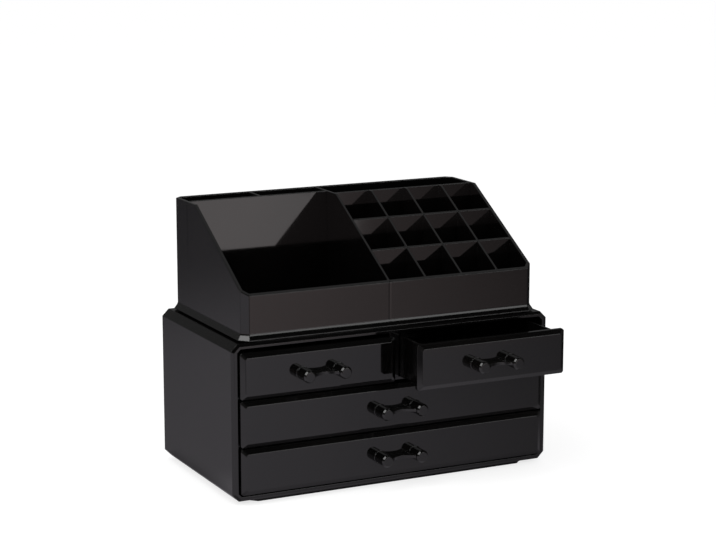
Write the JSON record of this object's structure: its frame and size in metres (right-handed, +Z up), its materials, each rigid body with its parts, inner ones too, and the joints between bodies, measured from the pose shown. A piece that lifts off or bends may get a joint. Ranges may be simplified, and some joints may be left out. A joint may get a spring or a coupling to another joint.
{
  "type": "brush holder with drawers",
  "caption": "Cosmetics organiser: a brush and lipstick tray with a sloping rim stands on a cabinet of sliding drawers with post handles.",
  "frame": {"origin": "centre of the cabinet's underside, on the surface it stands on", "axes": "+Z up, +X along the width to the right seen from the front, -Y out of the drawer fronts"},
  "size_m": [0.24, 0.1729, 0.1892],
  "materials": {
    "cabinet_black": "glossy moulded polystyrene",
    "tray_black": "glossy moulded polystyrene",
    "drawer_black": "glossy moulded polystyrene, slightly duller inside",
    "front_black": "mirror gloss moulded polystyrene",
    "handle_black": "glossy moulded plastic",
    "screw_steel": "zinc plated"
  },
  "bodies": {
    "cabinet": {"cabinet_shell": "cabinet_black", "back_panel": "cabinet_black", "lower_shelf": "cabinet_black", "upper_shelf": "cabinet_black", "centre_divider": "cabinet_black"},
    "drawer_bottom": {"drawer_box_bottom": "drawer_black", "drawer_front_bottom": "front_black", "handle_bottom": "handle_black", "handle_screws_bottom": "screw_steel"},
    "drawer_middle": {"drawer_box_middle": "drawer_black", "drawer_front_middle": "front_black", "handle_middle": "handle_black", "handle_screws_middle": "screw_steel"},
    "drawer_top_left": {"drawer_box_top_left": "drawer_black", "drawer_front_top_left": "front_black", "handle_top_left": "handle_black", "handle_screws_top_left": "screw_steel"},
    "drawer_top_right": {"drawer_box_top_right": "drawer_black", "drawer_front_top_right": "front_black", "handle_top_right": "handle_black", "handle_screws_top_right": "screw_steel"},
    "tray": {"tray_shell": "tray_black", "middle_partition": "tray_black", "brush_wall": "tray_black", "brush_divider": "tray_black", "row_divider_front": "tray_black", "row_divider_middle": "tray_black", "row_divider_back": "tray_black", "column_divider_1": "tray_black", "column_divider_2": "tray_black", "column_divider_3": "tray_black"}
  },
  "joints": [
    {"name": "bottom_drawer_slide", "type": "slide", "parent": "cabinet", "child": "drawer_bottom", "axis": [0, -1, 0], "range_m": [0, 0.085]},
    {"name": "middle_drawer_slide", "type": "slide", "parent": "cabinet", "child": "drawer_middle", "axis": [0, -1, 0], "range_m": [0, 0.085]},
    {"name": "top_left_drawer_slide", "type": "slide", "parent": "cabinet", "child": "drawer_top_left", "axis": [0, -1, 0], "range_m": [0, 0.085]},
    {"name": "top_right_drawer_slide", "type": "slide", "parent": "cabinet", "child": "drawer_top_right", "axis": [0, -1, 0], "range_m": [-0.029, 0.056]},
    {"name": "tray_lift", "type": "slide", "parent": "cabinet", "child": "tray", "axis": [0, 0, 1], "range_m": [0, 0.04]}
  ]
}
